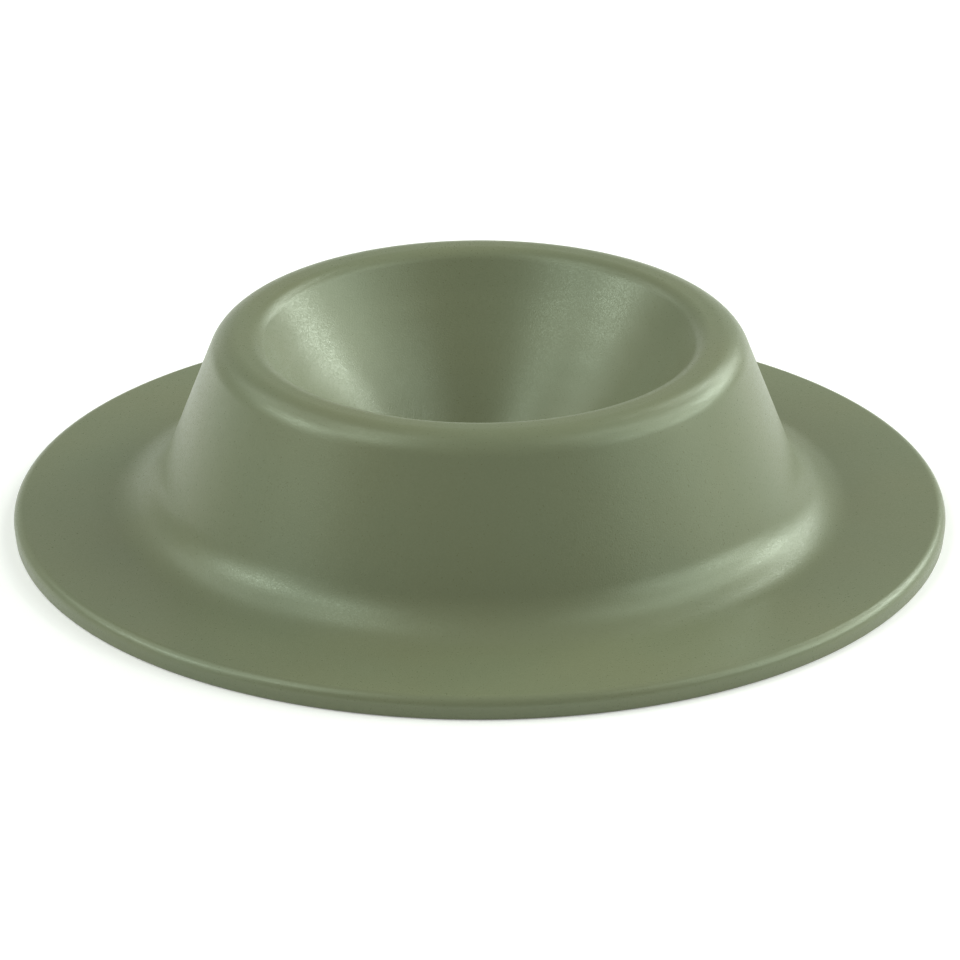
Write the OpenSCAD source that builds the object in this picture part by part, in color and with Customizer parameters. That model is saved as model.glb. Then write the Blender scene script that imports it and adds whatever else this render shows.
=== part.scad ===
// Egg cup with a saucer, moulded in one piece.
// The saucer's edge lies on the table. A leaning wall rises from it, folds over at a
// rounded rim and runs down again as a bowl with bowed sides and a round floor, so the
// underside is open between the wall and the bowl. Origin at the middle of the base.

/* [Bowl] */
// Diameter of the bowl's mouth, where its side has curved up to the rim's level
mouth_d = 47; // [44:0.2:52]
// Radius of the bowl's bowed side, between the rim and the floor
side_r = 70; // [50:1:100]
// Radius of the bowl's round floor
floor_r = 12.8; // [8:0.2:16]
// Height of the bowl's underside over the table
floor_gap = 0.7; // [0.5:0.1:2]

/* [Rim] */
// Height from the table to the rim
cup_h = 20.8; // [19:0.2:26]
// Radius of the rim's inner curve, down into the bowl
rim_inner_r = 2.2; // [1:0.1:3]
// Width of the rim's level crown, between its two curves
crown_w = 0.9; // [0.2:0.1:1.5]
// Radius of the rim's outer curve, down to the wall
rim_outer_r = 3.2; // [2.5:0.1:4.5]

/* [Wall] */
// Lean of the wall from upright, in degrees
wall_lean = 21; // [12:1:24]
// Radius of the hollow curve between the wall and the saucer
fillet_r = 6.2; // [5:0.2:10]

/* [Saucer] */
// Width of the saucer's straight slope, from the hollow curve to the edge
slope_w = 8.65; // [6:0.05:14]
// Fall of the saucer towards its edge, in degrees
saucer_slope = 0.5; // [0:0.25:3]
// Radius of the edge's upper curve
edge_round_r = 1; // [0.4:0.1:1.2]
// Radius of the edge's lower curve
edge_break_r = 0.3; // [0.1:0.1:0.6]
// Lean of the edge's face inwards, in degrees
edge_lean = 6; // [0:1:10]

/* [Shell] */
// Thickness of the bowl, the wall and the saucer
shell_t = 2.2; // [1.8:0.1:2.6]
// Radius at the top of the hollow under the rim
hollow_r = 0.6; // [0.3:0.1:1]
// Width of the flat ring that the cup stands on, inwards from the edge's curves
seat_w = 3; // [2:0.5:5]
// How far the ring reaches below the saucer's slope, at the edge
seat_drop = 0.1; // [0.1:0.1:0.5]

/* [Hidden] */
// Furthest that the straights of a curve lie inside its true arc
round_error = 0.035;
body_colour = [0.47, 0.50, 0.39];

// Directions in which the outer faces of the wall, the saucer and the edge look, and in
// which the wall and the edge run
wall_face_angle = wall_lean;
saucer_face_angle = 90 - saucer_slope;
edge_face_angle = -edge_lean;
wall_run_angle = wall_face_angle - 90;
edge_run_angle = edge_face_angle - 90;

// Centre of the bowl's floor, on the axis, and of the rim's two curves
floor_centre = [0, floor_gap + shell_t + floor_r];
inner_centre = [mouth_d / 2, cup_h - rim_inner_r];
outer_centre = [mouth_d / 2 + crown_w, cup_h - rim_outer_r];

// Centre of the bowl's bowed side, which holds the floor's curve and touches the rim's,
// and the directions from it to where it meets them
side_centre =
    let (
        d = norm(inner_centre - floor_centre),
        a = side_r - floor_r,
        b = side_r + rim_inner_r
    )
    along(floor_centre, heading(floor_centre, inner_centre)
        + acos((a * a + d * d - b * b) / (2 * a * d)), a);
side_floor_angle = heading(side_centre, floor_centre);
side_rim_angle = heading(side_centre, inner_centre);

// Centre of the hollow curve at the wall's foot, one radius off the wall and the saucer
edge_t = seat_drop + shell_t;
fillet_centre = meet(
    along(outer_centre, wall_face_angle, rim_outer_r + fillet_r), wall_run_angle,
    [0, edge_t + slope_w * sin(saucer_slope) + fillet_r * cos(saucer_slope)], 0);

// Centres of the edge's two curves, and the radius to the inside of the ring below them
slope_end = along(
    along(fillet_centre, 180 + saucer_face_angle, fillet_r), saucer_face_angle - 90, slope_w);
edge_centre = along(slope_end, 180 + saucer_face_angle, edge_round_r);
break_centre = meet(
    along(edge_centre, edge_face_angle, edge_round_r - edge_break_r), edge_run_angle,
    [0, edge_break_r], 0);
seat_inner = [edge_centre[0] - seat_w, 0];
seat_top = meet(
    seat_inner, 90, along(slope_end, 180 + saucer_face_angle, shell_t), saucer_face_angle - 90);

// Centre of the curve at the top of the hollow, behind the wall and under the bowl's side,
// and the direction from there to the side's centre
hollow_centre = meet_circle(
    along(fillet_centre, 180 + wall_face_angle, fillet_r + shell_t + hollow_r),
    180 + wall_run_angle, side_centre, side_r + shell_t + hollow_r);
hollow_side_angle = heading(side_centre, hollow_centre);

// The point a distance d from p in direction a
function along(p, a, d) = p + d * [cos(a), sin(a)];

// The direction from point p to point q
function heading(p, q) = atan2(q[1] - p[1], q[0] - p[0]);

// The point where the line through p in direction a meets the one through q in direction b
function meet(p, a, q, b) =
    let (u = [cos(a), sin(a)], v = [cos(b), sin(b)])
    p + u * cross(q - p, v) / cross(u, v);

// The first point where the line from p in direction a meets a circle of radius r
function meet_circle(p, a, centre, r) =
    let (u = [cos(a), sin(a)], t = (centre - p) * u, d = norm(centre - p))
    p + u * (t - sqrt(t * t - d * d + r * r));

// The points of an arc of radius r round a centre, from direction a to direction b
function arc(centre, r, a, b) =
    let (steps = ceil(abs(b - a) / (2 * acos(1 - round_error / r))))
    [for (i = [0:steps]) along(centre, a + (b - a) * i / steps, r)];

// A curve's points without the first, where it starts on the end of the curve before it
function after(points) = [for (i = [1:len(points) - 1]) points[i]];

// Half section of the cup: each curve in turn, with the straights that join them. The
// upper skin runs from the axis over the rim to the edge, and the lower skin back, round
// the same centres one shell thickness further in.
section = [
    each arc(floor_centre, floor_r, -90, side_floor_angle),
    each after(arc(side_centre, side_r, side_floor_angle, side_rim_angle)),
    each after(arc(inner_centre, rim_inner_r, 180 + side_rim_angle, 90)),
    each arc(outer_centre, rim_outer_r, 90, wall_face_angle),
    each arc(fillet_centre, fillet_r, 180 + wall_face_angle, 180 + saucer_face_angle),
    each arc(edge_centre, edge_round_r, saucer_face_angle, edge_face_angle),
    each arc(break_centre, edge_break_r, edge_face_angle, -90),
    seat_inner,
    seat_top,
    each arc(fillet_centre, fillet_r + shell_t, 180 + saucer_face_angle, 180 + wall_face_angle),
    each arc(hollow_centre, hollow_r, wall_face_angle, 180 + hollow_side_angle),
    each after(arc(side_centre, side_r + shell_t, hollow_side_angle, side_floor_angle)),
    each after(arc(floor_centre, floor_r + shell_t, side_floor_angle, -90))
];

module egg_cup() {
    color(body_colour) rotate_extrude($fn = 180) polygon(section);
}

egg_cup();
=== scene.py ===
"""Egg cup with a saucer: the moulded piece, its satin plastic, the light and the camera."""

import math

import bpy
from mathutils import Matrix, Vector


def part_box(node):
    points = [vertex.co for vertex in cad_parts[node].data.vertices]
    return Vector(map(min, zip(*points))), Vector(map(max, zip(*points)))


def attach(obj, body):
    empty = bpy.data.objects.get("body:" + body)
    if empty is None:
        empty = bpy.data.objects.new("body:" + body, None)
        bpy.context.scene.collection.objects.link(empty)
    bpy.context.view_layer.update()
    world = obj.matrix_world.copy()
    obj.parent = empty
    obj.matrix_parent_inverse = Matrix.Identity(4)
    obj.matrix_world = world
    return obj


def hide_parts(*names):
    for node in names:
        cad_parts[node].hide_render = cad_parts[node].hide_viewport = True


MM = 0.001

# Bowl and rim: the mouth where the side has curved up to the rim's level, the bowed side,
# the round floor and its height over the table, and the rim's two curves with the crown
# between
MOUTH_D = 47.0 * MM
SIDE_R = 70.0 * MM
FLOOR_R = 12.8 * MM
FLOOR_GAP = 0.7 * MM
RIM_INNER_R = 2.2 * MM
CROWN_W = 0.9 * MM
RIM_OUTER_R = 3.2 * MM

# Wall and saucer: leans and falls in degrees
WALL_LEAN = 21.0
FILLET_R = 6.2 * MM
SLOPE_W = 8.65 * MM
SAUCER_SLOPE = 0.5
EDGE_ROUND_R = 1.0 * MM
EDGE_BREAK_R = 0.3 * MM
EDGE_LEAN = 6.0

# Shell: its thickness, the hollow's top under the rim and the ring that it stands on
SHELL_T = 2.2 * MM
HOLLOW_R = 0.6 * MM
SEAT_W = 3.0 * MM
SEAT_DROP = 0.1 * MM

# Fineness of the revolved mesh: the turn of one straight of a curve in degrees, the longest
# piece of a straight, the straights round the axis, and the turn from which an edge is sharp
ARC_STEP = 3.0
STRAIGHT_STEP = 1.0 * MM
ROUND_STEPS = 240
SHARP_ANGLE = 40.0

# Plastic: the dye's two tones and its paler pigment with its share, the strength and the
# green tint of its gloss, the roughness with its drift and its grain, and how deep the
# moulded grain and the faint flow marks are
DYE_GREEN = (0.148, 0.167, 0.101, 1)
DYE_OLIVE = (0.157, 0.167, 0.096, 1)
DYE_PALE = (0.184, 0.200, 0.124, 1)
PIGMENT_SHARE = 0.3
GLOSS = 0.58
GLOSS_TINT = (0.85, 1.0, 0.83, 1)
ROUGH = 0.36
ROUGH_DRIFT = 0.015
ROUGH_GRAIN = 0.10
GRAIN_DEPTH = 0.015 * MM
FLOW_DEPTH = 0.05 * MM

# Noises in the plastic: the size of their patches, their levels of finer detail and their
# seed, and the parts of their range that are spread out for use
NOISES = {
    "clouds": (18.0 * MM, 2.0, 0.0),
    "pigment": (0.22 * MM, 1.0, 3.0),
    "drift": (18.0 * MM, 3.0, 7.0),
    "rough_grain": (0.17 * MM, 2.0, 1.0),
    "flow": (9.0 * MM, 1.0, 5.0),
    "grain": (0.17 * MM, 2.0, 0.0),
}
NOISE_SPAN = (0.3, 0.7)
PIGMENT_SPAN = (0.3, 0.8)

# Camera: where the photograph was taken from, in degrees and metres. Its aim is a little
# over the table's middle, and it is tilted about its own axis. Its sensor and its lens are
# in the camera's own millimetres.
CAMERA_ELEVATION = 24.06
CAMERA_DISTANCE = 759.7 * MM
CAMERA_AIM_UP = 4.12 * MM
CAMERA_AIM_RIGHT = 0.03 * MM
CAMERA_ROLL = -0.06
SENSOR_W = 36.0
LENS = 278.6

# Floor: its width, how far it lies under the cup so that no faces coincide, its colour and
# roughness, and the glow that only the camera and reflections see
FLOOR_SIZE = 6.0
FLOOR_DROP = 0.02 * MM
FLOOR_COLOUR = (0.8, 0.8, 0.8, 1)
FLOOR_ROUGH = 0.9
FLOOR_GLOW = 0.25

# Soft lamps round the cup: azimuth from +X and elevation in degrees, width and height in
# metres at LAMP_DISTANCE, and watts
LAMP_DISTANCE = 1.2
LAMPS = {
    "right_front": (338, 27, 0.42, 0.42, 2.36),
    "right_side": (0, 20, 0.28, 0.34, 2.13),
    "right_low": (15, 17, 0.32, 0.20, 1.68),
    "right_key": (31, 25, 0.28, 0.30, 3.85),
    "right_back": (49, 24, 0.32, 0.34, 2.31),
    "right_back_high": (55, 38, 0.24, 0.22, 1.52),
    "right_high": (6, 40, 0.44, 0.30, 1.78),
    "right_top": (348, 56, 0.60, 0.30, 1.65),
    "left": (180, 34, 0.56, 0.30, 4.24),
    "left_front": (208, 50, 0.36, 0.36, 2.30),
    "left_low": (198, 19, 0.60, 0.22, 1.12),
    "left_top": (178, 66, 0.40, 0.30, 1.70),
    "back_left": (145, 40, 0.40, 0.50, 1.26),
    "back_low": (100, 8, 1.00, 0.20, 0.56),
}

# Strength of the sky, and the colour of the lamps and the sky, very slightly green as in
# the photograph
WORLD_LIGHT = 0.27
LIGHT_COLOUR = (0.95, 1.0, 0.93)


def along(point, angle, distance):
    """The point a distance from another, in a direction in degrees."""
    a = math.radians(angle)
    return Vector((point[0] + distance * math.cos(a), point[1] + distance * math.sin(a)))


def heading(p, q):
    """The direction from point p to point q, in degrees."""
    return math.degrees(math.atan2(q[1] - p[1], q[0] - p[0]))


def meet(p, a, q, b):
    """The point where the line through p in direction a meets the one through q in direction b."""
    u, v = along((0, 0), a, 1), along((0, 0), b, 1)
    d = Vector(q) - Vector(p)
    return Vector(p) + u * (d.x * v.y - d.y * v.x) / (u.x * v.y - u.y * v.x)


def meet_circle(p, a, centre, radius):
    """The first point where the line from p in direction a meets a circle."""
    u, d = along((0, 0), a, 1), centre - p
    t = d.dot(u)
    return p + u * (t - math.sqrt(t * t - d.length_squared + radius * radius))


def arc(centre, radius, start, end):
    """The points of an arc round a centre, from direction start to direction end."""
    steps = math.ceil(abs(end - start) / ARC_STEP)
    return [along(centre, start + (end - start) * i / steps, radius) for i in range(steps + 1)]


def section():
    """Half section of the cup: the upper skin from the axis to the edge, then the lower one."""
    wall, saucer, edge = WALL_LEAN, 90 - SAUCER_SLOPE, -EDGE_LEAN
    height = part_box("egg_cup")[1].z
    floor_centre = Vector((0, FLOOR_GAP + SHELL_T + FLOOR_R))
    inner_centre = Vector((MOUTH_D / 2, height - RIM_INNER_R))
    outer_centre = Vector((MOUTH_D / 2 + CROWN_W, height - RIM_OUTER_R))

    # The bowed side holds the floor's curve and touches the rim's inner curve
    d, a, b = (inner_centre - floor_centre).length, SIDE_R - FLOOR_R, SIDE_R + RIM_INNER_R
    turn = math.degrees(math.acos((a * a + d * d - b * b) / (2 * a * d)))
    side_centre = along(floor_centre, heading(floor_centre, inner_centre) + turn, a)
    side_floor, side_rim = heading(side_centre, floor_centre), heading(side_centre, inner_centre)

    slope_top = SEAT_DROP + SHELL_T + SLOPE_W * math.sin(math.radians(SAUCER_SLOPE))
    fillet_centre = meet(
        along(outer_centre, wall, RIM_OUTER_R + FILLET_R), wall - 90,
        (0, slope_top + FILLET_R * math.cos(math.radians(SAUCER_SLOPE))), 0)
    slope_end = along(along(fillet_centre, 180 + saucer, FILLET_R), saucer - 90, SLOPE_W)
    edge_centre = along(slope_end, 180 + saucer, EDGE_ROUND_R)
    break_centre = meet(
        along(edge_centre, edge, EDGE_ROUND_R - EDGE_BREAK_R), edge - 90, (0, EDGE_BREAK_R), 0)
    seat_inner = Vector((edge_centre.x - SEAT_W, 0))
    seat_top = meet(seat_inner, 90, along(slope_end, 180 + saucer, SHELL_T), saucer - 90)

    # The top of the hollow touches the back of the wall and the back of the bowed side
    hollow_centre = meet_circle(
        along(fillet_centre, 180 + wall, FILLET_R + SHELL_T + HOLLOW_R), wall + 90,
        side_centre, SIDE_R + SHELL_T + HOLLOW_R)
    hollow_side = heading(side_centre, hollow_centre)
    return [
        *arc(floor_centre, FLOOR_R, -90, side_floor),
        *arc(side_centre, SIDE_R, side_floor, side_rim)[1:],
        *arc(inner_centre, RIM_INNER_R, 180 + side_rim, 90)[1:],
        *arc(outer_centre, RIM_OUTER_R, 90, wall),
        *arc(fillet_centre, FILLET_R, 180 + wall, 180 + saucer),
        *arc(edge_centre, EDGE_ROUND_R, saucer, edge),
        *arc(break_centre, EDGE_BREAK_R, edge, -90),
        seat_inner,
        seat_top,
        *arc(fillet_centre, FILLET_R + SHELL_T, 180 + saucer, 180 + wall),
        *arc(hollow_centre, HOLLOW_R, wall, 180 + hollow_side),
        *arc(side_centre, SIDE_R + SHELL_T, hollow_side, side_floor)[1:],
        *arc(floor_centre, FLOOR_R + SHELL_T, side_floor, -90)[1:],
    ]


def divided(points):
    """The same outline with its long straights cut into pieces."""
    result = [points[0]]
    for start, end in zip(points, points[1:]):
        count = math.ceil((end - start).length / STRAIGHT_STEP)
        result += [start.lerp(end, (i + 1) / count) for i in range(count)]
    return result


def revolved(name, points):
    """A closed mesh: the outline, which starts and ends on the axis, turned round it."""
    ring_points = points[1:-1]
    vertices = [(0, 0, points[0].y)]
    for p in ring_points:
        for i in range(ROUND_STEPS):
            a = math.tau * i / ROUND_STEPS
            vertices.append((p.x * math.cos(a), p.x * math.sin(a), p.y))
    vertices.append((0, 0, points[-1].y))
    last = len(vertices) - 1

    def ring(row, i):
        return 1 + row * ROUND_STEPS + i % ROUND_STEPS

    rows = len(ring_points)
    faces = [(0, ring(0, i), ring(0, i + 1)) for i in range(ROUND_STEPS)]
    for row in range(rows - 1):
        for i in range(ROUND_STEPS):
            faces.append((ring(row, i), ring(row + 1, i), ring(row + 1, i + 1), ring(row, i + 1)))
    faces += [(last, ring(rows - 1, i + 1), ring(rows - 1, i)) for i in range(ROUND_STEPS)]
    mesh = bpy.data.meshes.new(name)
    mesh.from_pydata(vertices, [], faces)
    mesh.shade_smooth()
    mesh.set_sharp_from_angle(angle=math.radians(SHARP_ANGLE))
    piece = bpy.data.objects.new(name, mesh)
    bpy.context.scene.collection.objects.link(piece)
    return piece


class Nodes:
    """A small helper that adds nodes to a new material and joins them."""

    def __init__(self, name):
        self.material = bpy.data.materials.new(name)
        self.material.use_nodes = True
        self.tree = self.material.node_tree
        self.shader = self.tree.nodes["Principled BSDF"]
        self.place = self.tree.nodes.new("ShaderNodeTexCoord").outputs["Object"]

    def link(self, start, end):
        self.tree.links.new(start, end)

    def noise(self, name):
        """One of NOISES, from 0 to 1 and mostly near 0.5."""
        size, detail, seed = NOISES[name]
        node = self.tree.nodes.new("ShaderNodeTexNoise")
        node.noise_dimensions = "4D"
        node.inputs["Scale"].default_value = 1 / size
        node.inputs["Detail"].default_value = detail
        node.inputs["W"].default_value = seed
        self.link(self.place, node.inputs["Vector"])
        return node.outputs["Fac"]

    def spread(self, value, span, low, high):
        """A value's span carried over to the range from low to high."""
        node = self.tree.nodes.new("ShaderNodeMapRange")
        ends = {"From Min": span[0], "From Max": span[1], "To Min": low, "To Max": high}
        for name, number in ends.items():
            node.inputs[name].default_value = number
        self.link(value, node.inputs["Value"])
        return node.outputs["Result"]

    def total(self, a, b):
        """The sum of two values."""
        node = self.tree.nodes.new("ShaderNodeMath")
        node.operation = "ADD"
        self.link(a, node.inputs[0])
        self.link(b, node.inputs[1])
        return node.outputs["Value"]

    def mix(self, share, a, b):
        """Colour a where the share is 0 and colour b where it is 1."""
        node = self.tree.nodes.new("ShaderNodeMix")
        node.data_type = "RGBA"
        self.link(share, node.inputs["Factor"])
        for name, colour in (("A", a), ("B", b)):
            socket = next(i for i in node.inputs if i.name == name and i.type == "RGBA")
            if isinstance(colour, tuple):
                socket.default_value = colour
            else:
                self.link(colour, socket)
        return next(o for o in node.outputs if o.type == "RGBA")

    def bump(self, height, depth, under=None):
        """A relief of a depth in metres, on top of another one where that is given."""
        node = self.tree.nodes.new("ShaderNodeBump")
        node.inputs["Distance"].default_value = depth
        self.link(height, node.inputs["Height"])
        if under is not None:
            self.link(under, node.inputs["Normal"])
        return node.outputs["Normal"]


def moulded_plastic():
    """Satin plastic, dyed all through: clouds in the dye, faint flow marks, and a fine grain."""
    plastic = Nodes("olive_plastic")
    clouds = plastic.spread(plastic.noise("clouds"), NOISE_SPAN, 0, 1)
    pigment = plastic.spread(plastic.noise("pigment"), PIGMENT_SPAN, 0, PIGMENT_SHARE)
    dye = plastic.mix(clouds, DYE_GREEN, DYE_OLIVE)
    plastic.link(plastic.mix(pigment, dye, DYE_PALE), plastic.shader.inputs["Base Color"])
    plastic.shader.inputs["Specular IOR Level"].default_value = GLOSS
    plastic.shader.inputs["Specular Tint"].default_value = GLOSS_TINT

    drift = plastic.spread(plastic.noise("drift"), NOISE_SPAN, -ROUGH_DRIFT, ROUGH_DRIFT)
    fine = plastic.spread(
        plastic.noise("rough_grain"), NOISE_SPAN, ROUGH - ROUGH_GRAIN, ROUGH + ROUGH_GRAIN)
    plastic.link(plastic.total(drift, fine), plastic.shader.inputs["Roughness"])

    flow = plastic.bump(plastic.noise("flow"), FLOW_DEPTH)
    grain = plastic.bump(plastic.noise("grain"), GRAIN_DEPTH, flow)
    plastic.link(grain, plastic.shader.inputs["Normal"])
    return plastic.material


def white_behind(tree, lit):
    """The lit shader, which for the camera and for reflections has a plain white glow added."""
    path = tree.nodes.new("ShaderNodeLightPath")
    white = tree.nodes.new("ShaderNodeEmission")
    white.inputs["Strength"].default_value = FLOOR_GLOW
    seen = path.outputs["Is Camera Ray"]
    for name in ("Is Glossy Ray", "Is Transmission Ray"):
        either = tree.nodes.new("ShaderNodeMath")
        either.operation = "MAXIMUM"
        tree.links.new(seen, either.inputs[0])
        tree.links.new(path.outputs[name], either.inputs[1])
        seen = either.outputs["Value"]
    both = tree.nodes.new("ShaderNodeAddShader")
    tree.links.new(lit, both.inputs[0])
    tree.links.new(white.outputs["Emission"], both.inputs[1])
    pick = tree.nodes.new("ShaderNodeMixShader")
    tree.links.new(seen, pick.inputs["Fac"])
    tree.links.new(lit, pick.inputs[1])
    tree.links.new(both.outputs["Shader"], pick.inputs[2])
    return pick.outputs["Shader"]


def add_floor():
    """A plain white floor, which keeps the cup's shadow."""
    bpy.ops.mesh.primitive_plane_add(size=FLOOR_SIZE, location=(0, 0, -FLOOR_DROP))
    floor = bpy.context.object
    floor.name = "floor"
    material = bpy.data.materials.new("floor_white")
    material.use_nodes = True
    tree = material.node_tree
    shader = tree.nodes["Principled BSDF"]
    shader.inputs["Base Color"].default_value = FLOOR_COLOUR
    shader.inputs["Roughness"].default_value = FLOOR_ROUGH
    surface = white_behind(tree, shader.outputs["BSDF"])
    tree.links.new(surface, tree.nodes["Material Output"].inputs["Surface"])
    floor.data.materials.append(material)


def add_camera():
    """The camera at the photograph's angle, size and tilt."""
    e = math.radians(CAMERA_ELEVATION)
    back = Vector((0, -math.cos(e), math.sin(e)))
    right = Vector((1, 0, 0))
    up = back.cross(right)
    place = back * CAMERA_DISTANCE
    aim = right * CAMERA_AIM_RIGHT + up * CAMERA_AIM_UP
    turn = (aim - place).to_track_quat("-Z", "Y").to_matrix().to_4x4()
    data = bpy.data.cameras.new("camera")
    data.sensor_width = SENSOR_W
    data.lens = LENS
    camera = bpy.data.objects.new("camera", data)
    bpy.context.scene.collection.objects.link(camera)
    roll = Matrix.Rotation(math.radians(CAMERA_ROLL), 4, "Z")
    camera.matrix_world = Matrix.Translation(place) @ turn @ roll
    bpy.context.scene.camera = camera


def add_world():
    """An even sky, for the light that comes from all round."""
    world = bpy.data.worlds.new("world")
    world.use_nodes = True
    sky = world.node_tree.nodes["Background"].inputs
    sky["Color"].default_value = (*LIGHT_COLOUR, 1)
    sky["Strength"].default_value = WORLD_LIGHT
    bpy.context.scene.world = world


def add_lamps():
    """The soft lamps, each facing the cup."""
    for name, (azimuth, elevation, width, height, watts) in LAMPS.items():
        a, e = math.radians(azimuth), math.radians(elevation)
        way = Vector((math.cos(a) * math.cos(e), math.sin(a) * math.cos(e), math.sin(e)))
        data = bpy.data.lights.new(name, "AREA")
        data.shape = "RECTANGLE"
        data.size = width
        data.size_y = height
        data.energy = watts
        data.color = LIGHT_COLOUR
        lamp = bpy.data.objects.new(name, data)
        lamp.location = way * LAMP_DISTANCE
        lamp.rotation_euler = (-way).to_track_quat("-Z", "Y").to_euler()
        bpy.context.scene.collection.objects.link(lamp)


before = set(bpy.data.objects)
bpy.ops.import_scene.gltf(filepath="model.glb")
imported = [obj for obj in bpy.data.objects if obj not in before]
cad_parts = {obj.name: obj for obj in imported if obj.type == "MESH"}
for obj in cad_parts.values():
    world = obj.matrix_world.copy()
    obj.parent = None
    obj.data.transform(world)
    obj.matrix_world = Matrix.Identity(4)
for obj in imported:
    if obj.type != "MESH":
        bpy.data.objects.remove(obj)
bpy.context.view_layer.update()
bpy.context.scene.view_settings.view_transform = "Standard"

cup = revolved("egg_cup_shell", divided(section()))
cup.data.materials.append(moulded_plastic())
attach(cup, "root")
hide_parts("egg_cup")

add_floor()
add_world()
add_lamps()
add_camera()
